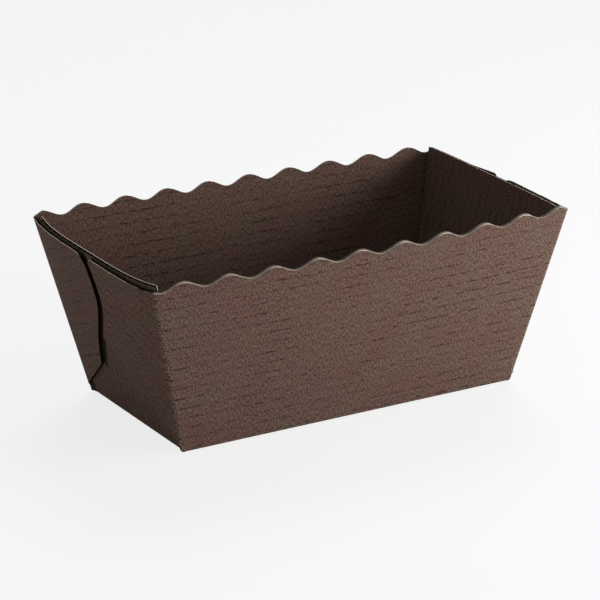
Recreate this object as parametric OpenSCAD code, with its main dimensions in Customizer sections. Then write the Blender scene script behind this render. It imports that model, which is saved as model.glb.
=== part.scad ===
// Corrugated card loaf pan, folded from one die-cut sheet.
// The floor carries two long walls with scalloped rims and two plain end panels. Each long wall
// carries two corner flaps. They turn round the upright creases and lie on the outside of the end
// panels, where they are glued: a broad flap from one wall and a fin from the other, with an even
// gap between their curved edges. The card has sprung a little, so every wall bulges at the rim.
// Origin: middle of the underside. X runs along the pan, -Y is the front wall, Z is up.

/* [Size] */
// Outside length at the height of the end panels
rim_length = 127.7; // [100:0.2:260]
// Outside width at the height of the end panels
rim_width = 68.3; // [56:0.1:120]
// Outside length of the floor
base_length = 103.7; // [80:0.1:230]
// Outside width of the floor
base_width = 51.3; // [42:0.1:100]
// Height of the end panels' straight top edges
end_height = 50.2; // [40:0.1:80]

/* [Card] */
// Thickness of the fluted card
card = 1.05; // [0.6:0.05:1.6]
// Glue line between an end panel and the flaps on it
glue_line = 0.1; // [0.05:0.05:0.4]
// Clearance between an end panel's side edges and the long walls
side_clearance = 0.5; // [0.2:0.1:1.5]

/* [Scalloped rim] */
// Depth of the middle valley between the lobes below the end panels' top edges
valley_drop = 1.3; // [0:0.1:8]
// How much higher the rim runs at a long wall's right-hand end than at its left
rim_climb = 0.8; // [0:0.1:3]
// Rise of a lobe above the valleys
lobe_rise = 2.2; // [0.5:0.1:5]
// Distance from one lobe to the next
lobe_pitch = 12.87; // [8:0.01:24]
// First valley, measured from the wall's left-hand crease
first_valley = 1.8; // [0:0.1:8]
// Stretch at the wall's right-hand end where the last lobe is cut off straight
rim_cut = 2.8; // [1:0.1:8]

/* [Bulge] */
// How far the front wall bulges at the rim
front_bulge = 2.2; // [0:0.1:4]
// How far the back wall bulges at the rim
back_bulge = 1.1; // [0:0.1:4]
// How far the left end bulges at the rim
left_bulge = 2.2; // [0:0.1:4]
// How far the right end bulges at the rim
right_bulge = 1.1; // [0:0.1:4]

/* [Corner flaps] */
// Height on the crease at which both flaps' lower edges start
flap_start = 3; // [1:0.1:10]
// Gap between the two flaps' curved edges
flap_gap = 3; // [1:0.1:8]
// Distance of the fin's lower free corner from its crease
fin_foot = 14.7; // [10:0.1:22]
// Rise of a flap's lower edge over its run
lower_slope = 0.78; // [0.64:0.01:1.2]
// Widest reach of the fin, to the middle of the gap
fin_reach = 27.4; // [22:0.1:40]
// Where the fin is widest, measured down the slope from the top edge
fin_reach_drop = 10.4; // [4:0.1:16]
// Radius of the fin's upper free corner
fin_corner = 5; // [1:0.5:8]
// Radius of the broad flap's upper free corner
flap_corner = 2; // [1:0.5:6]
// How far the flaps' upper free corners stand off the end panel
flap_lift = 0.3; // [0:0.1:1.5]

/* [Hidden] */

// Lean of the long walls and of the ends, from upright
wall_lean = atan((rim_width - base_width) / 2 / end_height);
end_lean = atan((rim_length - base_length) / 2 / end_height);
end_slope = end_height / cos(end_lean);

// Heights that follow from the end panels' top edges
valley_height = end_height - valley_drop;
fin_reach_height = end_slope - fin_reach_drop;

// Powers of the bulge curves: the ends are flatter in the middle than the walls
WALL_POWER = 2;
END_POWER = 4;

// Steps of the curved stretches
LOBE_STEPS = 8;
WALL_ROWS = 3;
END_COLUMNS = 16;
END_ROWS = 3;
FLAP_COLUMNS = 6;
EDGE_STEPS = 9;
CORNER_STEPS = 4;
ROD_SIDES = 12;
HALVINGS = 20;

// Handles of the curve between the flaps, as shares of the fin's reach and of that reach's height
LEAN_SHARE = [0.845, 0.86];
BELLY_SHARE = [1.125, 0.78];
TOP_SHARE = 0.94;

// How much thinner than the card its folds are, so that their sides end inside it
FOLD_TRACE = 0.03;

// Middle of the card's thickness at height z: half the length, half the width, and the end panels,
// which stand inside the flaps
function mid_x(z) = base_length / 2 + z * tan(end_lean) - card / 2 / cos(end_lean);
function mid_y(z) = base_width / 2 + z * tan(wall_lean) - card / 2 / cos(wall_lean);
function panel_x(z) = mid_x(z) - (card + glue_line) / cos(end_lean);
function panel_y(z) = mid_y(z) - card / 2 / cos(wall_lean) - side_clearance;

// Bulge at the share s of the half width, growing from the floor up
function bulge(s, z, most, power) = most * max(0, 1 - pow(abs(s), power)) * z / end_height;

// Points of the front wall and of the right-hand end, off their middle surface by out
function wall_point(x, z, out) =
    [x, -mid_y(z) - out * cos(wall_lean), z - out * sin(wall_lean)];
function end_point(x, y, z, out) =
    [x + out * cos(end_lean), y, z - out * sin(end_lean)];

// Rim of the front wall: cosine lobes on a line that climbs to the right. The last lobe is cut off
// straight, down to the height of the end panel
rim_half = mid_x(valley_height);
cut_x = rim_half - rim_cut;
function lobes(x) =
    valley_height + rim_climb * x / rim_half / 2
    + lobe_rise * (1 - cos(360 * (x + rim_half - first_valley) / lobe_pitch)) / 2;
function rim(x) =
    x <= cut_x ? lobes(x)
               : lobes(cut_x) + (end_height - lobes(cut_x)) * (x - cut_x) / rim_cut;

// A closed sheet between an outer and an inner grid of points with like rows and columns
module card_sheet(outer, inner) {
    columns = len(outer[0]);
    rows = len(outer);
    count = columns * rows;
    function at(column, row) = row * columns + column;
    face_quads = [
        for (r = [0 : rows - 2], c = [0 : columns - 2])
            [at(c, r), at(c, r + 1), at(c + 1, r + 1), at(c + 1, r)]
    ];
    border = concat(
        [for (c = [0 : columns - 1]) at(c, 0)],
        [for (r = [1 : rows - 1]) at(columns - 1, r)],
        [for (c = [columns - 2 : -1 : 0]) at(c, rows - 1)],
        [for (r = [rows - 2 : -1 : 1]) at(0, r)]
    );
    outer_faces = [for (q = face_quads, k = [1, 2]) [q[0], q[k], q[k + 1]]];
    inner_faces = [for (q = face_quads, k = [1, 2]) [for (i = [q[0], q[k + 1], q[k]]) i + count]];
    edge_faces = [
        for (k = [0 : len(border) - 1])
            let (a = border[k], b = border[(k + 1) % len(border)])
                each [[a, b, b + count], [a, b + count, a + count]]
    ];
    polyhedron(
        points = concat([for (row = outer) each row], [for (row = inner) each row]),
        faces = concat(outer_faces, inner_faces, edge_faces)
    );
}

// A fold: the card's rounded outside along a crease from a to b, a trace thinner than the card
module fold(a, b) {
    run = b - a;
    tilt = acos(run.z / norm(run));
    turn = atan2(run.y, run.x);
    translate(a) rotate([0, tilt, turn])
        cylinder(d = card - FOLD_TRACE, h = norm(run), $fn = ROD_SIDES);
}

module floor_plate() {
    x = panel_x(card / 2);
    y = mid_y(card / 2);
    translate([-x, -y, 0]) cube([2 * x, 2 * y, card]);
    fold([-x, -y, card / 2], [x, -y, card / 2]);
    fold([-x, y, card / 2], [x, y, card / 2]);
}

// The front wall between its two upright creases
module long_wall(most) {
    lobe_count = (cut_x + rim_half) / lobe_pitch;
    steps = ceil(lobe_count * LOBE_STEPS);
    along = concat([for (i = [0 : steps]) -rim_half + (cut_x + rim_half) * i / steps], [rim_half]);
    function grid(out) = [
        for (row = [0 : WALL_ROWS]) [
            for (x = along)
                let (s = x / rim_half, z = card / 2 + (rim(x) - card / 2) * row / WALL_ROWS)
                    wall_point(s * mid_x(z), z, out + bulge(s, z, most, WALL_POWER))
        ]
    ];
    card_sheet(grid(card / 2), grid(-card / 2));
}

// The right-hand end panel, with its fold to the floor
module end_panel(most) {
    function grid(out) = [
        for (row = [0 : END_ROWS])
            let (z = card / 2 + (end_height - card / 2) * row / END_ROWS) [
                for (i = [0 : END_COLUMNS])
                    let (s = 2 * i / END_COLUMNS - 1)
                        end_point(panel_x(z), s * panel_y(z), z, out + bulge(s, z, most, END_POWER))
            ]
    ];
    card_sheet(grid(card / 2), grid(-card / 2));
    x = panel_x(card / 2);
    y = panel_y(card / 2);
    fold([x, -y, card / 2], [x, y, card / 2]);
}

// The curve midway between the two flaps, from the fin's corner: inward, and up the slope
function curve_point(t) =
    let (
        foot = [fin_foot + flap_gap / 2, flap_start + fin_foot * lower_slope],
        lean = [fin_reach * LEAN_SHARE.x, fin_reach_height * LEAN_SHARE.y],
        belly = [fin_reach * BELLY_SHARE.x, fin_reach_height * BELLY_SHARE.y],
        top = [fin_reach * TOP_SHARE, end_slope]
    )
        pow(1 - t, 3) * foot + 3 * t * pow(1 - t, 2) * lean
        + 3 * t * t * (1 - t) * belly + pow(t, 3) * top;

// Where a rising function crosses zero between low and high, by halving
function crossing(f, low = 0, high = 1, halvings = HALVINGS) =
    let (middle = (low + high) / 2)
        halvings == 0 ? middle
        : f(middle) < 0 ? crossing(f, middle, high, halvings - 1)
        : crossing(f, low, middle, halvings - 1);

// Free edge of a flap, from its lower corner to where its rounded upper corner meets the top edge.
// Points are distances inward and up the slope from the flap's own corner of the floor; side gives
// the flap's point for a share of the curve
function free_edge(side, start, r) =
    let (
        stop = crossing(function(t) side(t).y - (end_slope - r)),
        edge = [for (i = [0 : EDGE_STEPS]) side(start + (stop - start) * i / EDGE_STEPS)],
        last = edge[EDGE_STEPS]
    )
        concat(edge, [
            for (k = [1 : CORNER_STEPS])
                let (turn = 90 * k / CORNER_STEPS)
                    [last.x - r * (1 - cos(turn)), end_slope - r * (1 - sin(turn))]
        ]);
function fin_edge() =
    free_edge(function(t) curve_point(t) - [flap_gap / 2, 0], 0, fin_corner);
function broad_edge() =
    let (
        side = function(t)
            let (p = curve_point(t)) [base_width - flap_gap / 2 - p.x, p.y],
        start = crossing(function(t) side(t).y - flap_start - side(t).x * lower_slope)
    )
        free_edge(side, start, flap_corner);

// A flap on the front corner of the right-hand end, with its upright fold, which is height high
module corner_flap(edge, height, most) {
    last = len(edge) - 1;
    low = flap_start * cos(end_lean);
    function crease(row) = low + (height - low) * row / last;
    function grid(out) = [
        for (row = [0 : last])
            let (
                z0 = crease(row),
                y0 = -mid_y(z0),
                z1 = edge[row].y * cos(end_lean),
                y1 = edge[row].x - base_width / 2
            ) [
                for (i = [0 : FLAP_COLUMNS])
                    let (
                        k = i / FLAP_COLUMNS,
                        z = z0 + (z1 - z0) * k,
                        y = y0 + (y1 - y0) * k,
                        lift = flap_lift * k * k * z / end_height
                    )
                        end_point(mid_x(z), y, z,
                                  out + lift + bulge(y / mid_y(z), z, most, END_POWER))
            ]
    ];
    card_sheet(grid(card / 2), grid(-card / 2));
    fold([mid_x(low), -mid_y(low), low], [mid_x(height), -mid_y(height), height]);
}

// One long wall with its broad flap on the left and its fin on the right, and the end on the left
module half_pan(wall_most, left_most, right_most) {
    long_wall(wall_most);
    mirror([1, 0, 0]) {
        corner_flap(broad_edge(), rim(-rim_half), left_most);
        end_panel(left_most);
    }
    corner_flap(fin_edge(), rim(rim_half), right_most);
}

module pan() {
    color([0.36, 0.29, 0.26]) {
        floor_plate();
        half_pan(front_bulge, left_bulge, right_bulge);
        rotate([0, 0, 180]) half_pan(back_bulge, right_bulge, left_bulge);
    }
}

pan();
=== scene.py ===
import math

import bpy
from bpy.props import FloatProperty, FloatVectorProperty, PointerProperty
from mathutils import Euler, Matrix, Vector, noise
from mathutils.kdtree import KDTree


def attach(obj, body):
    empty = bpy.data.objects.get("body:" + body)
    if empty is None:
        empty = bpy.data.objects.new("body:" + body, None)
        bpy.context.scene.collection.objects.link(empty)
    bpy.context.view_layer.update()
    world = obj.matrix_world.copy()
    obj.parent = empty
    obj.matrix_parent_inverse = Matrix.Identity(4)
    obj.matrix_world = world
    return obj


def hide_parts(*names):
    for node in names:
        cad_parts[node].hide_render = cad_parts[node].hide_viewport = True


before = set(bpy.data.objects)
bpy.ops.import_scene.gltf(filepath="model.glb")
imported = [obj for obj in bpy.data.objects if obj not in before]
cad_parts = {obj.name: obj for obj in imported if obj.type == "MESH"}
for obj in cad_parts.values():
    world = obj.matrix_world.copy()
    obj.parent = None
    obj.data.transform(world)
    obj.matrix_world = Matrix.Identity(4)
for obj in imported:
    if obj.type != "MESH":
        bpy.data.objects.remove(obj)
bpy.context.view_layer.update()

bl_info = {
    "name": "Fluted Card Loaf Pan",
    "version": (1, 0, 0),
    "blender": (4, 5, 0),
    "location": "3D View > Sidebar > Loaf Pan",
    "description": "Folds a loaf pan from one sheet of fluted card and sets it on a pale floor",
    "category": "Object",
}

NODE = "pan"
BODY = "root"
SHEET = "folded_card"
FLUTES = "flute_ends"
FLAT_MAP = "flat_sheet"
MM = 0.001

# Grids of the long walls: steps along a lobe, along the last one's cut, up a flute, and in the
# shoulder whose rows bend into the rim; steps left free for the shoulder; and height of the
# first row as a share of the crushed stretch beside the fold
STEPS_PER_LOBE = 12
CUT_STEPS = 3
STEPS_PER_FLUTE = 5
SHOULDER_STEPS = 4
SHOULDER_ROOM = 3
FIRST_ROW_SHARE = 0.6

# Grids of the end panels and the flaps, and the share of a flap's width in its first column
END_COLUMNS = 168
END_ROWS = 28
END_TOP_ROWS = 4
FLAP_COLUMNS = 36
FLAP_CORNER_STEPS = 10
FOLD_SHARE = 0.07

# How often crossing() halves its stretch
HALVINGS = 24

# Powers of the bulge curves of the long walls and of the ends
WALL_POWER = 2
END_POWER = 4

# The curve between the flaps: its two handles as shares of the fin's reach and of that reach's
# height, and its upper end as a share of the reach
LEAN_SHARE = (0.845, 0.86)
BELLY_SHARE = (1.125, 0.78)
TOP_SHARE = 0.94

# The card's slow unevenness: how fine it is, and how many metres from a fold it is full
WARP_SCALE = 38
WARP_REACH = 0.012

# The flaps' torn top edges: how fine the tear is, what sets the two ends apart, how soon it grows
# from the crease, and the powers by which it fades towards the free edge and below the top
TEAR_SCALE = 420
TEAR_SHIFT = 999
TEAR_GROWTH = 8
TEAR_FADE = 3
RAGGED_POWER = 24

# Left free above the lobes' crests, as the leaning card's outer face stands a little higher
CREST_MARGIN = 0.04 * MM

# How deep an end reaches inside its flaps' middle, and how far inside the long walls' middle its
# opened edges, its wave and its marks stay
END_DEPTH = 2.6 * MM
OPEN_MARGIN = 0.3 * MM
WAVE_MARGIN = 0.5 * MM
MARK_MARGIN = 0.6 * MM

# The gap between two flaps: the width, from a crease, of the bare stretch below them, and how
# far the gap starts below the fin's lower corner
FOOT_WIDTH = 1.8 * MM
FOOT_LAP = 0.5 * MM

# Folding: how near two panels' points are welded, from which angle an edge is a fold, and the
# faces in a fold's rounding
WELD = 0.02 * MM
FOLD_ANGLE = math.radians(40)
FOLD_SEGMENTS = 3

# Rubbed folds: how wide they are to each side, and how wide they fade beside that
RUB_WIDTH = 0.5 * MM
RUB_FADE = 0.25 * MM

# Pale cut edges, partly bare fibre and partly painted highlight: the least paleness along the
# rims, at their valleys (the crests are paler, as painted highlight), the height of the band at
# the ends' tops, the distances in card thicknesses from the flaps' middle where the outer and the
# inner face start, and the paleness of these two and of what lies between, which gets painted shade
PALE_RIM = 0.5
PALE_BAND = 1.5 * MM
OUTER_FACE = 0.2
INNER_FACE = -1.25
PALE_OUTER = 0.6
PALE_INNER = 0.85
PALE_BETWEEN = 0.03

# Painted shade on the end panel's outer face where it shows between the flaps: its depths and its
# lower end in card thicknesses, and the height over which it fades at the top
GLUED_FACE = (-1, -0.45)
GLOOM_FOOT = 1.2
GLOOM_FADE = 3 * MM

# From which angle two faces of a piece meet in a sharp edge
SMOOTH_ANGLE = math.radians(38)

# Material slots of the folded sheet; slot 0 is the face's
CUT = 1
HOLLOW = 2


def number(name, description, value, **options):
    return FloatProperty(name=name, description=description, default=value, **options)


def length(name, description, value):
    """A length in metres, given here in millimetres"""
    return number(name, description, value * MM, precision=5, unit="LENGTH")


class PanSizes(bpy.types.PropertyGroup):
    """Sizes of the folded pan"""
    rim_length: length("Rim length", "Outside length at the height of the end panels", 127.7)
    rim_width: length("Rim width", "Outside width at the height of the end panels", 68.3)
    base_length: length("Base length", "Outside length of the floor", 103.7)
    base_width: length("Base width", "Outside width of the floor", 51.3)
    end_height: length("End height", "Height of the end panels' top edges", 50.2)
    card: length("Card", "Thickness of the fluted card", 1.05)
    glue_line: length("Glue line", "Gap between an end panel and its flaps", 0.1)
    side_clearance: length("Side clearance", "Gap from an end panel to the walls", 0.5)
    valley_drop: length("Valley drop", "Depth of the middle valley below the end panels", 1.3)
    rim_climb: length("Rim climb", "How much higher the rim runs at a wall's right end", 0.8)
    lobe_rise: length("Lobe rise", "Rise of a lobe above the valleys", 2.2)
    lobe_pitch: length("Lobe pitch", "Distance from one lobe to the next", 12.87)
    first_valley: length("First valley", "Distance of the first valley from the crease", 1.8)
    rim_cut: length("Rim cut", "Stretch where the last lobe is cut off straight", 2.8)
    front_bulge: length("Front bulge", "Bulge of the front wall at the rim", 2.2)
    back_bulge: length("Back bulge", "Bulge of the back wall at the rim", 1.1)
    left_bulge: length("Left bulge", "Bulge of the left end at the rim", 2.2)
    right_bulge: length("Right bulge", "Bulge of the right end at the rim", 1.1)
    flap_start: length("Flap start", "Height at which the flaps' lower edges start", 3)
    flap_gap: length("Flap gap", "Gap between the flaps' curved edges", 3)
    fin_foot: length("Fin foot", "Distance of the fin's lower corner from its crease", 14.7)
    lower_slope: number("Lower slope", "Rise of a flap's lower edge over its run", 0.78)
    fin_reach: length("Fin reach", "Widest reach of the fin", 27.4)
    fin_reach_drop: length("Fin reach drop", "Distance of that place from the top edge", 10.4)
    fin_corner: length("Fin corner", "Radius of the fin's upper corner", 5)
    flap_corner: length("Flap corner", "Radius of the broad flap's upper corner", 2)
    flap_lift: length("Flap lift", "How far the flaps' upper corners stand off", 0.3)


class CardSizes(bpy.types.PropertyGroup):
    """Make-up of the fluted card"""
    pitch: length("Flute pitch", "Distance from one flute to the next", 3.07)
    relief: length("Relief", "How far the flutes press through the faces", 0.03)
    warp: length("Warp", "Slow unevenness of the sprung card", 0.07)
    liner: length("Liner", "Thickness of the two faces", 0.2)
    medium: length("Wave", "Thickness of the wave between the faces", 0.15)
    depth: length("Depth", "Depth to which the open flutes are hollow", 2)
    recess: length("Recess", "How far the wave lies back from the cut edges", 0.5)
    ragged: length("Ragged", "How far the flaps' top edges are torn down", 0.35)
    fold_radius: length("Fold radius", "How far from a fold its rounding starts", 0.5)
    crush: length("Crush", "Width beside a fold in which the flutes are crushed", 2)


def colour(name, description, value):
    return FloatVectorProperty(name=name, description=description, default=value,
                               subtype="COLOR", size=3, min=0, max=1)


class CardColours(bpy.types.PropertyGroup):
    """Colours of the card"""
    face: colour("Face", "Brown of the faces", (0.197, 0.131, 0.102))
    face_dark: colour("Face in the pores", "Darker brown between the fibres", (0.050, 0.028, 0.021))
    face_red: colour("Face, reddish", "Redder brown of some patches", (0.203, 0.117, 0.096))
    cut: colour("Cut edge", "Pale bare fibre of a cut edge", (0.96, 0.85, 0.70))
    # Near-black painted shade: on the cut edges where they are not pale, on the wave between the
    # faces and in the dashes between the flutes
    dark_shade: colour("Cut edge, dyed", "Where the cut edge kept its colour", (0.018, 0.011, 0.008))
    # Near-black painted shade, inside the open flutes and on the end panel between the flaps
    hollow: colour("Hollow", "Inside of the flutes, and shade between flaps", (0.007, 0.004, 0.003))


class StageSizes(bpy.types.PropertyGroup):
    """Camera and floor"""
    azimuth: number("Azimuth", "Where the camera stands", math.radians(-30.64), subtype="ANGLE")
    elevation: number("Elevation", "How steeply the camera looks down", math.radians(19.74),
                      subtype="ANGLE")
    distance: number("Distance", "From the camera to the pan", 0.8972, unit="LENGTH")
    aim_height: number("Aim height", "Height of the point aimed at", 0.026458, unit="LENGTH")
    lens: number("Lens", "Focal length in millimetres", 198.2)
    shift_x: number("Shift X", "Sideways shift of the lens", -0.0028, precision=4)
    shift_y: number("Shift Y", "Upward shift of the lens", -0.0079, precision=4)
    floor_size: number("Floor size", "Width of the floor", 12, unit="LENGTH")
    floor_colour: colour("Floor", "Colour of the floor", (0.9, 0.9, 0.9))


class PanShape:
    """Where the folded sheet's middle surface lies, worked out from the sizes"""

    def __init__(self, sizes, card):
        self.sizes = sizes
        self.card = card
        self.wall_lean = math.atan((sizes.rim_width - sizes.base_width) / 2 / sizes.end_height)
        self.end_lean = math.atan((sizes.rim_length - sizes.base_length) / 2 / sizes.end_height)
        self.end_slope = sizes.end_height / math.cos(self.end_lean)
        self.bottom = sizes.card / 2
        self.valley_height = sizes.end_height - sizes.valley_drop
        self.foot_height = sizes.flap_start + sizes.fin_foot * sizes.lower_slope
        self.reach_height = self.end_slope - sizes.fin_reach_drop
        self.rim_half = self.mid_x(self.valley_height)
        self.cut_x = self.rim_half - sizes.rim_cut
        self.half_length = self.mid_x(self.bottom)
        self.half_width = self.mid_y(self.bottom)
        self.broad_foot = self.broad_edge(FLAP_CORNER_STEPS + 1)[0].y
        self.rows = self.wall_rows()
        low = sizes.flap_start * math.cos(self.end_lean)
        self.flap_row = min(range(len(self.rows)), key=lambda i: abs(self.rows[i] - low))
        # How steeply the flutes climb on the flaps, from the turn of the sheet at the creases
        self.climb = (math.atan2(1 / math.cos(self.end_lean), -math.tan(self.wall_lean))
                      - math.atan2(1 / math.cos(self.wall_lean), math.tan(self.end_lean)))

    def mid_x(self, z):
        s = self.sizes
        return s.base_length / 2 + z * math.tan(self.end_lean) - s.card / 2 / math.cos(self.end_lean)

    def mid_y(self, z):
        s = self.sizes
        return s.base_width / 2 + z * math.tan(self.wall_lean) - s.card / 2 / math.cos(self.wall_lean)

    def panel_x(self, z):
        s = self.sizes
        return self.mid_x(z) - (s.card + s.glue_line) / math.cos(self.end_lean)

    def panel_y(self, z):
        s = self.sizes
        return self.mid_y(z) - s.card / 2 / math.cos(self.wall_lean) - s.side_clearance

    def bulge(self, share, z, most, power):
        rise = (z - self.bottom) / (self.sizes.end_height - self.bottom)
        return most * max(0, 1 - abs(share) ** power) * rise

    def rim(self, x):
        """Height of the front wall's rim"""
        if x > self.cut_x:
            rest = (x - self.cut_x) / self.sizes.rim_cut
            return self.lobes(self.cut_x) * (1 - rest) + self.sizes.end_height * rest
        return self.lobes(x)

    def lobes(self, x):
        s = self.sizes
        turn = 2 * math.pi * (x + self.rim_half - s.first_valley) / s.lobe_pitch
        line = self.valley_height + s.rim_climb * x / self.rim_half / 2
        return line + (s.lobe_rise - CREST_MARGIN) * (1 - math.cos(turn)) / 2

    def wall_rows(self):
        """Heights of the rows that lie straight across a long wall, from the fold up"""
        step = self.card.pitch * math.cos(self.wall_lean) / STEPS_PER_FLUTE
        rows = [self.bottom]
        z = self.bottom + self.card.crush * FIRST_ROW_SHARE
        while z < self.valley_height - self.sizes.rim_climb / 2 - SHOULDER_ROOM * step:
            rows.append(z)
            z += step
        return rows

    def row_height(self, row, x):
        """Height of a row; the last rows bend into the line of the rim"""
        last = len(self.rows) - 1
        if row <= last:
            return self.rows[row]
        return self.rows[last] + (self.rim(x) - self.rows[last]) * (row - last) / SHOULDER_STEPS

    def wall_columns(self):
        """Columns of a long wall as shares of its half length"""
        inner = self.panel_x(self.bottom) / self.half_length
        cut = self.cut_x / self.rim_half
        count = round((self.cut_x + inner * self.rim_half) / self.sizes.lobe_pitch * STEPS_PER_LOBE)
        along = [-inner + (cut + inner) * i / count for i in range(count)]
        along += [cut + (inner - cut) * i / CUT_STEPS for i in range(CUT_STEPS + 1)]
        return [-1, *along, 1]

    def wave(self, v):
        """The flutes' wave, from -1 to 1, at the distance v across them"""
        return math.cos(2 * math.pi * v / self.card.pitch)

    def press(self, v, from_fold, place):
        """How far the face stands out: the flutes pressed through, and the slow unevenness"""
        clear = clamp(from_fold / self.card.crush - 0.5)
        slow = (noise.noise(place * WARP_SCALE) - 1) / 2 * self.card.warp
        slow *= min(1, from_fold / WARP_REACH)
        return self.card.relief * (self.wave(v) - 1) / 2 * clear + slow

    def wall_point(self, share, z, most):
        """Point of the front wall, and its place on the flat sheet"""
        x = share * self.mid_x(z)
        v = -self.half_width - (z - self.bottom) / math.cos(self.wall_lean)
        fold = min(z - self.bottom, (1 - abs(share)) * self.mid_x(z))
        out = self.bulge(share, z, most, WALL_POWER)
        out += self.press(v, fold, Vector((x, v, most)))
        y = -self.mid_y(z) - out * math.cos(self.wall_lean)
        return Vector((x, y, z - out * math.sin(self.wall_lean))), (x, v)

    def end_out(self, x, y, z, out):
        return Vector((x + out * math.cos(self.end_lean), y, z - out * math.sin(self.end_lean)))

    def panel_point(self, share, z, most):
        """Point of the right-hand end panel, and its place on the flat sheet"""
        y = share * self.panel_y(z)
        u = self.panel_x(self.bottom) + (z - self.bottom) / math.cos(self.end_lean)
        out = self.bulge(share, z, most, END_POWER)
        out += self.press(y, z - self.bottom, Vector((u, y, most)))
        return self.end_out(self.panel_x(z), y, z, out), (u, y)

    def curve_point(self, t):
        """The curve midway between the two flaps: distance inward, and up the slope"""
        s = self.sizes
        foot = Vector((s.fin_foot + s.flap_gap / 2, self.foot_height))
        lean = Vector((s.fin_reach * LEAN_SHARE[0], self.reach_height * LEAN_SHARE[1]))
        belly = Vector((s.fin_reach * BELLY_SHARE[0], self.reach_height * BELLY_SHARE[1]))
        top = Vector((s.fin_reach * TOP_SHARE, self.end_slope))
        r = 1 - t
        return r ** 3 * foot + 3 * t * r * r * lean + 3 * t * t * r * belly + t ** 3 * top

    def on_end(self, co, margin):
        """Whether a point belongs to an end, inside the long walls' middle by the margin"""
        at_end = abs(co.x) > self.mid_x(co.z) - END_DEPTH
        return at_end and abs(co.y) < self.mid_y(co.z) - margin

    def in_gap(self, co):
        """Whether a point of an end lies between its flaps, or at the open foot of a crease"""
        s = self.sizes
        if co.z < s.flap_start:
            return abs(co.y) > self.mid_y(co.z) - FOOT_WIDTH
        up = co.z / math.cos(self.end_lean)
        if up < self.foot_height - FOOT_LAP:
            return False
        middle = self.curve_point(crossing(lambda t: self.curve_point(t).y - up)).x
        off = math.copysign(1, co.x) * co.y + s.base_width / 2 - middle
        return abs(off) < s.flap_gap / 2 and (up > self.broad_foot or off < 0)

    def fin_side(self, t):
        return self.curve_point(t) - Vector((self.sizes.flap_gap / 2, 0))

    def broad_side(self, t):
        p = self.curve_point(t)
        return Vector((self.sizes.base_width - self.sizes.flap_gap / 2 - p.x, p.y))

    def free_edge(self, side, start, radius, count):
        """A flap's free edge from its lower corner to the end of its rounded upper corner"""
        stop = crossing(lambda t: side(t).y - (self.end_slope - radius))
        steps = count - FLAP_CORNER_STEPS
        edge = [side(start + (stop - start) * i / steps) for i in range(steps + 1)]
        last = edge[-1]
        for k in range(1, FLAP_CORNER_STEPS + 1):
            turn = math.pi / 2 * k / FLAP_CORNER_STEPS
            edge.append(Vector((last.x - radius * (1 - math.cos(turn)),
                                self.end_slope - radius * (1 - math.sin(turn)))))
        return edge

    def fin_edge(self, count):
        return self.free_edge(self.fin_side, 0, self.sizes.fin_corner, count)

    def broad_edge(self, count):
        s = self.sizes
        start = crossing(lambda t: self.broad_side(t).y - s.flap_start
                         - self.broad_side(t).x * s.lower_slope)
        return self.free_edge(self.broad_side, start, s.flap_corner, count)

    def flap_point(self, share, crease_z, edge, most):
        """Point of a flap on the front corner of the right-hand end, and its flat place"""
        s = self.sizes
        start_y = -self.mid_y(crease_z)
        end_z = edge.y * math.cos(self.end_lean)
        z = crease_z + (end_z - crease_z) * share
        y = start_y + (edge.x - s.base_width / 2 - start_y) * share
        torn = (1 - noise.noise(Vector((y * TEAR_SCALE, most * TEAR_SHIFT, 0)))) / 2
        torn *= min(1, share * TEAR_GROWTH) * (1 - share ** TEAR_FADE)
        z -= self.card.ragged * torn * (z / s.end_height) ** RAGGED_POWER
        inward = y + self.half_width
        up = (z - self.bottom) / math.cos(self.end_lean)
        u = self.half_length + inward * math.cos(self.climb) + up * math.sin(self.climb)
        v = -self.half_width + inward * math.sin(self.climb) - up * math.cos(self.climb)
        out = s.flap_lift * share * share * z / s.end_height
        out += self.bulge(y / self.mid_y(z), z, most, END_POWER)
        out += self.press(v, y + self.mid_y(z), Vector((u, y, most)))
        return self.end_out(self.mid_x(z), y, z, out), (u, v)


def clamp(value, low=0):
    """The value, held between low and 1"""
    return min(1, max(low, value))


def crossing(rising):
    """Where a rising function crosses zero between 0 and 1, by halving"""
    low, high = 0.0, 1.0
    for _ in range(HALVINGS):
        middle = (low + high) / 2
        if rising(middle) < 0:
            low = middle
        else:
            high = middle
    return (low + high) / 2


def shape_of(context):
    return PanShape(context.scene.pan_sizes, context.scene.card_sizes)


def deselect():
    if bpy.context.object and bpy.context.object.mode != "OBJECT":
        bpy.ops.object.mode_set(mode="OBJECT")
    bpy.ops.object.select_all(action="DESELECT")


def only(obj):
    """Makes obj the one selected and active object"""
    deselect()
    obj.select_set(True)
    bpy.context.view_layer.objects.active = obj


def find(name):
    obj = bpy.data.objects.get(name)
    if obj is None:
        raise RuntimeError(f"{name} has not been made yet")
    return obj


def edit(obj, kind="VERT"):
    """Goes into edit mode on obj, picking vertices or faces"""
    only(obj)
    bpy.ops.object.mode_set(mode="EDIT")
    bpy.ops.mesh.select_mode(type=kind)


def pick_faces(obj, wanted):
    """Leaves obj in edit mode with the wanted faces selected"""
    edit(obj, "FACE")
    bpy.ops.mesh.select_all(action="DESELECT")
    bpy.ops.object.mode_set(mode="OBJECT")
    for face in obj.data.polygons:
        face.select = wanted(face)
    bpy.ops.object.mode_set(mode="EDIT")


def apply_modifier(obj, kind, **settings):
    only(obj)
    modifier = obj.modifiers.new(kind.title(), kind)
    for name, value in settings.items():
        setattr(modifier, name, value)
    bpy.ops.object.modifier_apply(modifier=modifier.name)


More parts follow.
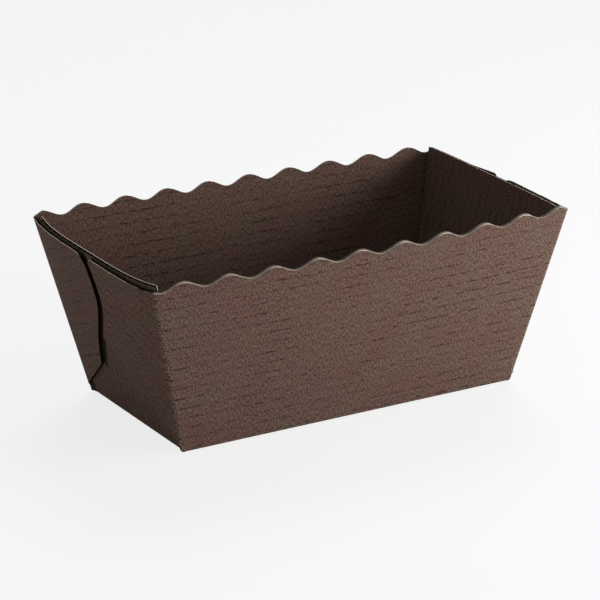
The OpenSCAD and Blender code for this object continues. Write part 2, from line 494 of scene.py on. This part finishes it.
def lay_sheet(name, columns, rows, place, sides):
    """A grid of card whose points go where place(column, row) says. sides turns or mirrors it:
    the signs of X and Y, which its place on the flat sheet follows"""
    deselect()
    bpy.ops.mesh.primitive_grid_add(x_subdivisions=columns, y_subdivisions=rows, size=1,
                                    calc_uvs=True)
    obj = bpy.context.object
    obj.name = obj.data.name = name
    mesh = obj.data
    mesh.uv_layers.active.name = FLAT_MAP
    flat = []
    for vertex in mesh.vertices:
        column = round((vertex.co.x + 0.5) * columns)
        row = round((vertex.co.y + 0.5) * rows)
        point, (u, v) = place(column, row)
        vertex.co = Vector((point.x * sides[0], point.y * sides[1], point.z))
        flat.append((u * sides[0], v * sides[1]))
    loops = mesh.uv_layers[FLAT_MAP].data
    for loop in mesh.loops:
        loops[loop.index].uv = flat[loop.vertex_index]
    return obj


class PAN_OT_long_walls(bpy.types.Operator):
    """Lay out the two long walls with their scalloped rims"""
    bl_idname = "pan.long_walls"
    bl_label = "Long Walls"

    def execute(self, context):
        shape = shape_of(context)
        sizes = context.scene.pan_sizes
        along = shape.wall_columns()
        rows = len(shape.rows) - 1 + SHOULDER_STEPS
        for name, most, sides in (("front_wall", sizes.front_bulge, (1, 1)),
                                  ("back_wall", sizes.back_bulge, (-1, -1))):
            def place(column, row):
                share = along[column]
                return shape.wall_point(share, shape.row_height(row, share * shape.rim_half), most)
            lay_sheet(name, len(along) - 1, rows, place, sides)
        return {"FINISHED"}


class PAN_OT_corner_flaps(bpy.types.Operator):
    """Lay out the four corner flaps that lie on the outside of the end panels"""
    bl_idname = "pan.corner_flaps"
    bl_label = "Corner Flaps"

    def execute(self, context):
        shape = shape_of(context)
        sizes = context.scene.pan_sizes
        first = shape.flap_row
        rows = len(shape.rows) - 1 + SHOULDER_STEPS - first
        left, right = sizes.left_bulge, sizes.right_bulge
        fin, broad = shape.fin_edge(rows), shape.broad_edge(rows)
        for name, edge, rim_x, most, sides in (
                ("front_left_flap", broad, -shape.rim_half, left, (-1, 1)),
                ("front_right_fin", fin, shape.rim_half, right, (1, 1)),
                ("back_right_flap", broad, -shape.rim_half, right, (1, -1)),
                ("back_left_fin", fin, shape.rim_half, left, (-1, -1))):
            def place(column, row):
                crease = shape.row_height(first + row, rim_x)
                # The first step is wide enough to take the rounding of the fold
                share = FOLD_SHARE + (1 - FOLD_SHARE) * (column - 1) / (FLAP_COLUMNS - 1)
                return shape.flap_point(share if column else 0, crease, edge[row], most)
            lay_sheet(name, FLAP_COLUMNS, rows, place, sides)
        return {"FINISHED"}


class PAN_OT_end_panels(bpy.types.Operator):
    """Lay out the two end panels that stand between the long walls"""
    bl_idname = "pan.end_panels"
    bl_label = "End Panels"

    def execute(self, context):
        shape = shape_of(context)
        sizes, card = context.scene.pan_sizes, context.scene.card_sizes
        shoulder = sizes.end_height - card.depth
        heights = [shape.bottom + (shoulder - shape.bottom) * i / END_ROWS for i in range(END_ROWS)]
        heights += [shoulder + card.depth * i / END_TOP_ROWS for i in range(END_TOP_ROWS + 1)]
        for name, most, sides in (("left_end", sizes.left_bulge, (-1, 1)),
                                  ("right_end", sizes.right_bulge, (1, 1))):
            def place(column, row):
                return shape.panel_point(2 * column / END_COLUMNS - 1, heights[row], most)
            lay_sheet(name, END_COLUMNS, len(heights) - 1, place, sides)
        return {"FINISHED"}


class PAN_OT_floor_panel(bpy.types.Operator):
    """Lay out the floor as one face that meets every fold around it"""
    bl_idname = "pan.floor_panel"
    bl_label = "Floor Panel"

    def execute(self, context):
        shape = shape_of(context)
        end_x = shape.panel_x(shape.bottom)
        panel_y = shape.panel_y(shape.bottom)
        front = [(share * shape.half_length, -shape.half_width)
                 for share in shape.wall_columns()[1:-1]]
        right = [(end_x, panel_y * (2 * i / END_COLUMNS - 1)) for i in range(END_COLUMNS + 1)]
        half = front + right
        outline = half + [(-x, -y) for x, y in half]
        mesh = bpy.data.meshes.new("floor")
        mesh.from_pydata([(x, y, shape.bottom) for x, y in outline], [],
                         [list(range(len(outline)))])
        flat = mesh.uv_layers.new(name=FLAT_MAP).data
        for loop in mesh.loops:
            flat[loop.index].uv = outline[loop.vertex_index]
        context.scene.collection.objects.link(bpy.data.objects.new("floor", mesh))
        return {"FINISHED"}


PANELS = ("front_wall", "back_wall", "left_end", "right_end", "floor",
          "front_left_flap", "front_right_fin", "back_right_flap", "back_left_fin")


def shift_along_normals(mesh, distances):
    """Moves each vertex along its normal by its own distance"""
    normals = [vertex.normal.copy() for vertex in mesh.vertices]
    for vertex, normal, distance in zip(mesh.vertices, normals, distances):
        vertex.co += normal * distance


def flat_v(mesh):
    """Each vertex's distance across the flutes on the flat sheet"""
    flat = mesh.uv_layers[FLAT_MAP].data
    found = [0.0] * len(mesh.vertices)
    for loop in mesh.loops:
        found[loop.vertex_index] = flat[loop.index].uv.y
    return found


def open_edge_tree(mesh):
    """Places of the vertices on the sheet's open edges, for finding what lies near them"""
    uses = {}
    for face in mesh.polygons:
        for key in face.edge_keys:
            uses[key] = uses.get(key, 0) + 1
    on_edge = sorted({i for key, count in uses.items() if count == 1 for i in key})
    tree = KDTree(len(on_edge))
    for i in on_edge:
        tree.insert(mesh.vertices[i].co, i)
    tree.balance()
    return tree


class PAN_OT_fold(bpy.types.Operator):
    """Join the panels along their folds, round the folds and give the card its thickness"""
    bl_idname = "pan.fold"
    bl_label = "Fold"

    def execute(self, context):
        sheet = self.join_panels(context)
        self.round_folds(context.scene.card_sizes.fold_radius)
        self.turn_outward(sheet)
        self.keep_middle(sheet)
        for name in ("Card Face", "Card Cut Edge", "Card Hollow Shade"):
            sheet.data.materials.append(bpy.data.materials.new(name))
        apply_modifier(sheet, "SOLIDIFY", thickness=context.scene.pan_sizes.card, offset=0,
                       use_even_offset=True, use_quality_normals=True, material_offset_rim=CUT)
        return {"FINISHED"}

    def join_panels(self, context):
        """Makes the panels one mesh, welded along their folds, and leaves it in edit mode"""
        deselect()
        for name in PANELS:
            find(name).select_set(True)
        sheet = find(PANELS[0])
        context.view_layer.objects.active = sheet
        bpy.ops.object.join()
        sheet.name = sheet.data.name = SHEET
        edit(sheet)
        bpy.ops.mesh.select_all(action="SELECT")
        bpy.ops.mesh.remove_doubles(threshold=WELD)
        bpy.ops.mesh.normals_make_consistent(inside=False)
        return sheet

    def round_folds(self, radius):
        """Rounds the folds of the mesh in edit mode"""
        bpy.ops.mesh.select_mode(type="EDGE")
        bpy.ops.mesh.select_all(action="DESELECT")
        bpy.ops.mesh.edges_select_sharp(sharpness=FOLD_ANGLE)
        bpy.ops.mesh.bevel(offset=radius, segments=FOLD_SEGMENTS, affect="EDGES")
        bpy.ops.object.mode_set(mode="OBJECT")

    def turn_outward(self, sheet):
        """Turns the faces over if the floor, the large face at the bottom, looks up"""
        floor = min(sheet.data.polygons, key=lambda face: face.center.z - face.area)
        if floor.normal.z > 0:
            edit(sheet)
            bpy.ops.mesh.select_all(action="SELECT")
            bpy.ops.mesh.flip_normals()
            bpy.ops.object.mode_set(mode="OBJECT")

    def keep_middle(self, sheet):
        """A copy of the middle surface, from which the wave between the faces is made"""
        only(sheet)
        bpy.ops.object.duplicate()
        copy = bpy.context.object
        copy.name = copy.data.name = FLUTES


class PAN_OT_open_edges(bpy.types.Operator):
    """Open the cut edges of the ends and the flaps between the card's two faces"""
    bl_idname = "pan.open_edges"
    bl_label = "Open Edges"

    def execute(self, context):
        shape = shape_of(context)
        card = context.scene.card_sizes
        sheet = find(SHEET)

        def across_flutes(face):
            cut = face.material_index == CUT and face.center.z > shape.sizes.flap_start
            return cut and shape.on_end(face.center, OPEN_MARGIN)

        pick_faces(sheet, across_flutes)
        bpy.ops.mesh.inset(thickness=card.liner, depth=0, use_boundary=True)
        sheet.active_material_index = HOLLOW
        bpy.ops.object.material_slot_assign()
        bpy.ops.mesh.inset(thickness=0, depth=-card.depth, use_boundary=True)
        bpy.ops.object.mode_set(mode="OBJECT")
        return {"FINISHED"}


class PAN_OT_flutes(bpy.types.Operator):
    """Make the wave that shows between the card's faces at the open cut edges"""
    bl_idname = "pan.flutes"
    bl_label = "Flutes"

    def execute(self, context):
        shape = shape_of(context)
        sizes, card = context.scene.pan_sizes, context.scene.card_sizes
        flutes = find(FLUTES)
        mesh = flutes.data
        near = open_edge_tree(mesh)

        def inside(face):
            on_end = face.center.z > sizes.flap_start and shape.on_end(face.center, WAVE_MARGIN)
            return not (on_end and card.recess < near.find(face.center)[2] < card.depth)

        reach = sizes.card / 2 - card.liner - card.medium / 2
        shift_along_normals(mesh, [reach * shape.wave(v) for v in flat_v(mesh)])
        pick_faces(flutes, inside)
        bpy.ops.mesh.delete(type="FACE")
        bpy.ops.object.mode_set(mode="OBJECT")
        mesh.materials.append(bpy.data.materials.new("Card Flute"))
        apply_modifier(flutes, "SOLIDIFY", thickness=card.medium, offset=0, use_even_offset=True)
        return {"FINISHED"}


def near_fold(shape, co):
    """1 at the folds of the long walls and the flaps, falling to 0 beside them"""
    side_x, side_y = math.copysign(1, co.x), math.copysign(1, co.y)
    foot = Vector((shape.mid_x(0) * side_x, shape.mid_y(0) * side_y, 0))
    rise = Vector((math.tan(shape.end_lean) * side_x, math.tan(shape.wall_lean) * side_y, 1))
    rise.normalize()
    away = co - foot
    upright = (away - rise * away.dot(rise)).length
    floor_fold = math.hypot(abs(co.y) - shape.half_width, co.z - shape.bottom)
    distance = min(upright, floor_fold)
    return clamp(1 - (distance - RUB_WIDTH) / RUB_FADE)


def off_flap(shape, co):
    """How far a point of an end lies outside the middle of its flaps' card"""
    most = shape.sizes.left_bulge if co.x < 0 else shape.sizes.right_bulge
    out = shape.bulge(co.y / shape.mid_y(co.z), co.z, most, END_POWER)
    return (abs(co.x) - shape.mid_x(co.z)) * math.cos(shape.end_lean) - out


def off_wall(shape, co):
    """How far a point of a long wall lies outside the middle of its card"""
    most = shape.sizes.front_bulge if co.y < 0 else shape.sizes.back_bulge
    out = shape.bulge(co.x / shape.mid_x(co.z), co.z, most, WALL_POWER)
    return (abs(co.y) - shape.mid_y(co.z)) * math.cos(shape.wall_lean) - out


def paleness(shape, co):
    """How pale a cut edge is: partly its bare fibre, partly painted highlight, which grows towards
    the rims' crests. On the ends only the faces on the outside and the inside are pale; the edges
    between them get painted shade"""
    sizes = shape.sizes
    if co.z < sizes.flap_start:
        return 0.0
    if not shape.on_end(co, MARK_MARGIN):
        # Paler towards the lobes' crests: painted highlight on the rims' bare fibre
        return clamp((co.z - shape.valley_height) / sizes.lobe_rise, PALE_RIM)
    if co.z < sizes.end_height - PALE_BAND:
        return 0.0
    out = off_flap(shape, co)
    if out > sizes.card * OUTER_FACE:
        return PALE_OUTER
    # The edges between the outer and the inner face get painted shade
    return PALE_INNER if out < sizes.card * INNER_FACE else PALE_BETWEEN


def across_edge(shape, co):
    """1 on the ends and on the outer side of a long wall's card, and -1 on its inner side"""
    if shape.on_end(co, MARK_MARGIN):
        return 1.0
    return math.copysign(1, off_wall(shape, co))


def gap_shade(shape, co):
    """1 on the outer face of an end panel where it shows between the flaps, which gets painted shade
    """
    sizes = shape.sizes
    if co.z < sizes.card * GLOOM_FOOT or not shape.on_end(co, MARK_MARGIN):
        return 0.0
    deepest, outermost = (sizes.card * depth for depth in GLUED_FACE)
    if not deepest < off_flap(shape, co) < outermost or not shape.in_gap(co):
        return 0.0
    return clamp((sizes.end_height - GLOOM_FADE - co.z) / GLOOM_FADE)


# Marks on the pieces' points, by the names under which the materials read them
MARKS = {"fold": near_fold, "pale": paleness, "across": across_edge, "gap_shade": gap_shade}


class PAN_OT_marks(bpy.types.Operator):
    """Mark the rubbed folds, the pale cut edges with their painted highlight and shade, and the
    painted shade between the flaps
    """
    bl_idname = "pan.marks"
    bl_label = "Wear and Painted Light Marks"

    def execute(self, context):
        shape = shape_of(context)
        for name in (SHEET, FLUTES):
            piece = find(name)
            for mark, value in MARKS.items():
                found = piece.data.attributes.new(mark, "FLOAT", "POINT")
                for vertex in piece.data.vertices:
                    found.data[vertex.index].value = value(shape, vertex.co)
            only(piece)
            bpy.ops.object.shade_smooth_by_angle(angle=SMOOTH_ANGLE)
            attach(piece, BODY)
            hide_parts(NODE)
        return {"FINISHED"}


class Nodes:
    """Adds and links the nodes of one tree"""

    def __init__(self, tree):
        self.tree = tree

    def add(self, kind, **settings):
        node = self.tree.nodes.new(kind)
        for name, value in settings.items():
            setattr(node, name, value)
        return node

    def put(self, target, value):
        """Links a socket to the target, or sets the target's own value"""
        if isinstance(value, bpy.types.NodeSocket):
            self.tree.links.new(value, target)
        else:
            target.default_value = value

    def mark(self, name):
        """Reads one of the marks on the pieces' points"""
        return self.add("ShaderNodeAttribute", attribute_name=name).outputs["Fac"]

    def math(self, operation, a, b=0.0, c=0.0):
        node = self.add("ShaderNodeMath", operation=operation)
        for target, value in zip(node.inputs, (a, b, c)):
            self.put(target, value)
        return node.outputs[0]

    def vector(self, operation, a, b):
        node = self.add("ShaderNodeVectorMath", operation=operation)
        self.put(node.inputs[0], a)
        self.put(node.inputs[1], b)
        return node.outputs[0]

    def ramp(self, value, low, high, to_low=0.0, to_high=1.0):
        node = self.add("ShaderNodeMapRange", interpolation_type="SMOOTHSTEP")
        for name, given in (("Value", value), ("From Min", low), ("From Max", high),
                            ("To Min", to_low), ("To Max", to_high)):
            self.put(node.inputs[name], given)
        return node.outputs[0]

    def noise(self, vector, scale, detail=3.0, roughness=0.55):
        node = self.add("ShaderNodeTexNoise")
        for name, given in (("Vector", vector), ("Scale", scale), ("Detail", detail),
                            ("Roughness", roughness)):
            self.put(node.inputs[name], given)
        return node.outputs["Fac"]

    def mix(self, factor, a, b):
        node = self.add("ShaderNodeMix", data_type="RGBA")
        for index, given in ((0, factor), (6, a), (7, b)):
            self.put(node.inputs[index], given)
        return node.outputs[2]

    def mix_shaders(self, factor, a, b):
        node = self.add("ShaderNodeMixShader")
        for target, given in zip(node.inputs, (factor, a, b)):
            self.put(target, given)
        return node.outputs[0]

    def glow(self, node, strength):
        """Lets an emission or background node shine white"""
        node.inputs["Color"].default_value = (1, 1, 1, 1)
        node.inputs["Strength"].default_value = strength
        return node.outputs[0]


def group_tree(name, inputs, outputs):
    """A new node group and its Nodes, input sockets and output node"""
    tree = bpy.data.node_groups.new(name, "ShaderNodeTree")
    kinds = {"Vector": "NodeSocketVector"}
    for socket, value in inputs:
        made = tree.interface.new_socket(socket, in_out="INPUT",
                                         socket_type=kinds.get(socket, "NodeSocketFloat"))
        if value is not None:
            made.default_value = value
    for socket in outputs:
        tree.interface.new_socket(socket, in_out="OUTPUT", socket_type="NodeSocketFloat")
    nodes = Nodes(tree)
    return tree, nodes, nodes.add("NodeGroupInput").outputs, nodes.add("NodeGroupOutput").inputs


def paper_fibre():
    """Fibres that lie along the second axis, with cloudy patches; the vector is in millimetres"""
    tree, n, given, out = group_tree("Paper Fibre", (("Vector", None), ("Stretch", 4.0)),
                                     ("Fibre", "Cloud", "Specks"))
    stretch = n.add("ShaderNodeCombineXYZ")
    n.put(stretch.inputs[0], given["Stretch"])
    n.put(stretch.inputs[1], 1.0)
    n.put(stretch.inputs[2], given["Stretch"])
    drawn = n.vector("MULTIPLY", given["Vector"], stretch.outputs[0])
    long_fibre = n.noise(drawn, 1.0, 3.0, 0.65)
    grain = n.noise(given["Vector"], 2.8, 2.0, 0.6)
    blend = n.math("ADD", n.math("MULTIPLY", long_fibre, 0.6), n.math("MULTIPLY", grain, 0.4))
    n.put(out["Fibre"], n.ramp(blend, 0.4, 0.6))
    n.put(out["Cloud"], n.ramp(n.noise(given["Vector"], 0.085, 3.0, 0.6), 0.38, 0.64))
    n.put(out["Specks"], n.ramp(n.noise(given["Vector"], 3.0, 2.0, 0.7), 0.57, 0.65))
    return tree


def flute_groove_shade():
    """Broken dashes where the faces sink between the flutes, for painted shade and bump; the vector
    is in millimetres
    """
    tree, n, given, out = group_tree("Flute Groove Shade", (("Vector", None), ("Pitch", 3.07)),
                                     ("Dash",))
    apart = n.add("ShaderNodeSeparateXYZ")
    n.put(apart.inputs[0], given["Vector"])
    wobble = n.math("MULTIPLY_ADD", n.noise(given["Vector"], 0.16, 2.0), 0.5, -0.25)
    turn = n.math("DIVIDE", n.math("ADD", apart.outputs[1], wobble), given["Pitch"])
    off = n.math("ABSOLUTE", n.math("SUBTRACT", n.math("FRACT", turn), 0.5))
    line = n.ramp(off, 0.035, 0.1, 1.0, 0.0)
    drawn = n.vector("MULTIPLY", given["Vector"], (0.5, 1.0, 0.0))
    dash = n.ramp(n.noise(drawn, 0.8, 3.0, 0.7), 0.44, 0.56)
    patch = n.ramp(n.noise(given["Vector"], 0.045, 2.0), 0.4, 0.6, 0.35, 1.0)
    n.put(out["Dash"], n.math("MULTIPLY", n.math("MULTIPLY", line, dash), patch))
    return tree


def use_group(n, tree, **values):
    node = n.add("ShaderNodeGroup")
    node.node_tree = tree
    for name, value in values.items():
        n.put(node.inputs[name], value)
    return node.outputs


METRE_IN_MM = (1000.0, 1000.0, 1000.0)


def rgba(value):
    return (*value, 1.0)


def start_material(name, roughness):
    """The Nodes of a material and its Principled shader, set as rough as given and hardly shiny"""
    material = bpy.data.materials[name]
    material.use_nodes = True
    n = Nodes(material.node_tree)
    shader = material.node_tree.nodes["Principled BSDF"]
    shader.inputs["Roughness"].default_value = roughness
    shader.inputs["Specular IOR Level"].default_value = 0.05
    return n, shader


def flat_millimetres(n):
    """Places on the flat sheet in millimetres"""
    place = n.add("ShaderNodeUVMap", uv_map=FLAT_MAP)
    return n.vector("MULTIPLY", place.outputs[0], METRE_IN_MM)


def edge_fibre(n, fibre):
    """Fibre of the cut edges and of the card's inside, laid out by the pan's own coordinates"""
    place = n.add("ShaderNodeTexCoord")
    millimetres = n.vector("MULTIPLY", place.outputs["Object"], METRE_IN_MM)
    return use_group(n, fibre, Vector=millimetres, Stretch=1.5)["Fibre"]


def bump(n, shader, height, distance):
    node = n.add("ShaderNodeBump")
    node.inputs["Strength"].default_value = 1.0
    node.inputs["Distance"].default_value = distance
    n.put(node.inputs["Height"], height)
    n.put(shader.inputs["Normal"], node.outputs[0])


def card_face(colours, fibre, groove_shade, pitch):
    """Brown face of the card: fibres, cloudy patches, painted shade in the dashes between the flutes,
    rubbed folds, and painted shade on the end panel between the flaps"""
    n, shader = start_material("Card Face", 0.82)
    place = flat_millimetres(n)
    paper = use_group(n, fibre, Vector=place, Stretch=3.4)
    flutes = use_group(n, groove_shade, Vector=place, Pitch=pitch / MM)
    base = n.mix(paper["Cloud"], rgba(colours.face), rgba(colours.face_red))
    tint = n.mix(n.math("MULTIPLY", paper["Fibre"], 0.9), base, rgba(colours.face_dark))
    # Painted shade in the dashes between the flutes
    lined = n.mix(n.math("MULTIPLY", flutes["Dash"], 0.75), tint, rgba(colours.dark_shade))
    rubbed = n.math("MULTIPLY", n.math("MULTIPLY", n.mark("fold"), paper["Specks"]), 0.4)
    worn = n.mix(rubbed, lined, rgba(colours.cut))
    # Painted shade on the end panel between the flaps, in the near-black of the hollows
    gap_shaded = n.math("MULTIPLY", n.mark("gap_shade"), 0.97)
    n.put(shader.inputs["Base Color"], n.mix(gap_shaded, worn, rgba(colours.hollow)))
    height = n.math("SUBTRACT", n.math("MULTIPLY", paper["Fibre"], -0.35),
                    n.math("MULTIPLY", flutes["Dash"], 0.65))
    bump(n, shader, height, 0.06 * MM)


def card_cut(colours, fibre):
    """Bare fibre on the cut edges with painted highlight, paler where the edge is marked so;
    elsewhere near-black painted shade
    """
    n, shader = start_material("Card Cut Edge", 0.9)
    paper = edge_fibre(n, fibre)
    lined = n.math("MULTIPLY", n.mark("pale"), n.ramp(n.mark("across"), 0.0, 0.6, 0.3, 1.0))
    bare = n.math("MULTIPLY", lined, n.ramp(paper, 0.0, 0.8, 0.7, 1.0))
    n.put(shader.inputs["Base Color"], n.mix(bare, rgba(colours.dark_shade), rgba(colours.cut)))
    bump(n, shader, paper, 0.05 * MM)


def card_hollow_shade(colours, fibre):
    """Painted shade inside the open flutes: near black, a little lighter with the fibre"""
    n, shader = start_material("Card Hollow Shade", 0.95)
    lighter = n.math("MULTIPLY", edge_fibre(n, fibre), 0.4)
    tone = n.mix(lighter, rgba(colours.hollow), rgba(colours.face_dark))
    n.put(shader.inputs["Base Color"], tone)


def card_flute(colours, fibre):
    """The wave between the faces: near-black painted shade, with a paler cut edge where marked pale
    """
    n, shader = start_material("Card Flute", 0.9)
    shown = n.ramp(edge_fibre(n, fibre), 0.2, 0.9, 0.15, 0.5)
    bare = n.math("MULTIPLY", n.mark("pale"), shown)
    n.put(shader.inputs["Base Color"], n.mix(bare, rgba(colours.dark_shade), rgba(colours.cut)))


class PAN_OT_finishes(bpy.types.Operator):
    """Give the card's faces, cut edges and flutes their finishes"""
    bl_idname = "pan.finishes"
    bl_label = "Finishes"

    def execute(self, context):
        colours = context.scene.card_colours
        fibre, groove_shade = paper_fibre(), flute_groove_shade()
        card_face(colours, fibre, groove_shade, context.scene.card_sizes.pitch)
        card_cut(colours, fibre)
        card_hollow_shade(colours, fibre)
        card_flute(colours, fibre)
        return {"FINISHED"}


# The key is a wide panel near the front right, and the back light is far off at the back right.
# Directions are in degrees round and above the pan
KEY = {"azimuth": 60, "elevation": 13, "distance": 0.42, "width": 0.5, "height": 0.2, "power": 2.45}
BACK_LIGHT = {"azimuth": 142, "elevation": 42, "strength": 1.3, "softness": 30}

# Strength of the room's light, and of the plain background that is seen
WORLD_STRENGTH = 0.25
BACKGROUND = 0.93

# The floor: its drop below the pan, whose underside would otherwise lie in the same plane, the
# longest of the rays that light the underside, and the strength and share of the plain tone in
# what is seen of the floor
FLOOR_DROP = 0.05 * MM
SHORT_RAY = MM
PLAIN_FLOOR = 1.0
PLAIN_SHARE = 0.8


def direction(azimuth, elevation):
    """Unit vector towards a place round and above the pan, with 0 in front of it"""
    return Vector((math.sin(azimuth) * math.cos(elevation),
                   -math.cos(azimuth) * math.cos(elevation), math.sin(elevation)))


def seen_directly(n):
    """1 for what the camera sees, also in a reflection or through glass"""
    path = n.add("ShaderNodeLightPath").outputs
    direct = n.math("MAXIMUM", path["Is Camera Ray"], path["Is Glossy Ray"])
    return n.math("MAXIMUM", direct, path["Is Transmission Ray"])


class PAN_OT_stage(bpy.types.Operator):
    """Set the floor, the room, the two lamps and the camera"""
    bl_idname = "pan.stage"
    bl_label = "Stage"

    def execute(self, context):
        stage = context.scene.stage_sizes
        self.add_floor(stage)
        self.add_world(context)
        self.add_key(context, **KEY)
        self.add_back_light(context, **BACK_LIGHT)
        self.add_camera(context, stage)
        context.scene.view_settings.view_transform = "Standard"
        return {"FINISHED"}

    def add_floor(self, stage):
        deselect()
        bpy.ops.mesh.primitive_plane_add(size=stage.floor_size, location=(0, 0, -FLOOR_DROP))
        floor = bpy.context.object
        floor.name = "stage_floor"
        material = bpy.data.materials.new("Pale Floor")
        material.use_nodes = True
        n = Nodes(material.node_tree)
        shader = material.node_tree.nodes["Principled BSDF"]
        shader.inputs["Base Color"].default_value = rgba(stage.floor_colour)
        shader.inputs["Roughness"].default_value = 1.0
        shader.inputs["Specular IOR Level"].default_value = 0.0
        # In view most of the floor's tone is plain, so that the shadow on it stays faint
        plain = n.glow(n.add("ShaderNodeEmission"), PLAIN_FLOOR)
        share = n.math("MULTIPLY", seen_directly(n), PLAIN_SHARE)
        shown = n.mix_shaders(share, shader.outputs[0], plain)
        # The floor is clear from below and to those short rays, so that the underside shows
        path = n.add("ShaderNodeLightPath").outputs
        short = n.math("LESS_THAN", path["Ray Length"], SHORT_RAY)
        close = n.math("MULTIPLY", short, path["Is Diffuse Ray"])
        below = n.add("ShaderNodeNewGeometry").outputs["Backfacing"]
        clear = n.add("ShaderNodeBsdfTransparent").outputs[0]
        blend = n.mix_shaders(n.math("MAXIMUM", below, close), shown, clear)
        n.put(material.node_tree.nodes["Material Output"].inputs["Surface"], blend)
        floor.data.materials.append(material)

    def add_world(self, context):
        world = bpy.data.worlds.new("Soft Room")
        context.scene.world = world
        world.use_nodes = True
        n = Nodes(world.node_tree)
        light = n.glow(world.node_tree.nodes["Background"], WORLD_STRENGTH)
        seen = n.glow(n.add("ShaderNodeBackground"), BACKGROUND)
        blend = n.mix_shaders(seen_directly(n), light, seen)
        n.put(world.node_tree.nodes["World Output"].inputs["Surface"], blend)

    def add_key(self, context, azimuth, elevation, distance, width, height, power):
        lamp = bpy.data.lights.new("key", "AREA")
        lamp.shape = "RECTANGLE"
        lamp.size = width
        lamp.size_y = height
        lamp.energy = power
        self.place_lamp(context, lamp, azimuth, elevation, distance)

    def add_back_light(self, context, azimuth, elevation, strength, softness):
        lamp = bpy.data.lights.new("back_light", "SUN")
        lamp.energy = strength
        lamp.angle = math.radians(softness)
        self.place_lamp(context, lamp, azimuth, elevation, 1.0)

    def place_lamp(self, context, lamp, azimuth, elevation, distance):
        holder = bpy.data.objects.new(lamp.name, lamp)
        context.scene.collection.objects.link(holder)
        towards = direction(math.radians(azimuth), math.radians(elevation))
        holder.location = towards * distance
        holder.rotation_euler = towards.to_track_quat("Z", "Y").to_euler()

    def add_camera(self, context, stage):
        camera = bpy.data.cameras.new("camera")
        camera.lens = stage.lens
        camera.sensor_width = 36
        camera.shift_x = stage.shift_x
        camera.shift_y = stage.shift_y
        camera.clip_start = 0.01
        camera.clip_end = 100
        holder = bpy.data.objects.new("camera", camera)
        context.scene.collection.objects.link(holder)
        back = direction(stage.azimuth, stage.elevation)
        holder.location = Vector((0, 0, stage.aim_height)) + back * stage.distance
        holder.rotation_euler = Euler((math.pi / 2 - stage.elevation, 0, stage.azimuth))
        context.scene.camera = holder


STEPS = (PAN_OT_long_walls, PAN_OT_corner_flaps, PAN_OT_end_panels, PAN_OT_floor_panel,
         PAN_OT_fold, PAN_OT_open_edges, PAN_OT_flutes, PAN_OT_marks, PAN_OT_finishes,
         PAN_OT_stage)


class PAN_PT_steps(bpy.types.Panel):
    """Lists the steps of making the pan, and its sizes"""
    bl_idname = "PAN_PT_steps"
    bl_label = "Loaf Pan"
    bl_space_type = "VIEW_3D"
    bl_region_type = "UI"
    bl_category = "Loaf Pan"

    def draw(self, context):
        for step in STEPS:
            self.layout.operator(step.bl_idname)
        for group in ("pan_sizes", "card_sizes", "card_colours", "stage_sizes"):
            settings = getattr(context.scene, group)
            for name in settings.bl_rna.properties.keys():
                if name not in ("rna_type", "name"):
                    self.layout.prop(settings, name)


GROUPS = (("pan_sizes", PanSizes), ("card_sizes", CardSizes), ("card_colours", CardColours),
          ("stage_sizes", StageSizes))


def register():
    for name, group in GROUPS:
        bpy.utils.register_class(group)
        setattr(bpy.types.Scene, name, PointerProperty(type=group))
    for step in (*STEPS, PAN_PT_steps):
        bpy.utils.register_class(step)


def unregister():
    for step in reversed((*STEPS, PAN_PT_steps)):
        bpy.utils.unregister_class(step)
    for name, group in reversed(GROUPS):
        delattr(bpy.types.Scene, name)
        bpy.utils.unregister_class(group)


def main():
    register()
    for step in STEPS:
        area, name = step.bl_idname.split(".")
        getattr(getattr(bpy.ops, area), name)()


if __name__ == "__main__":
    main()
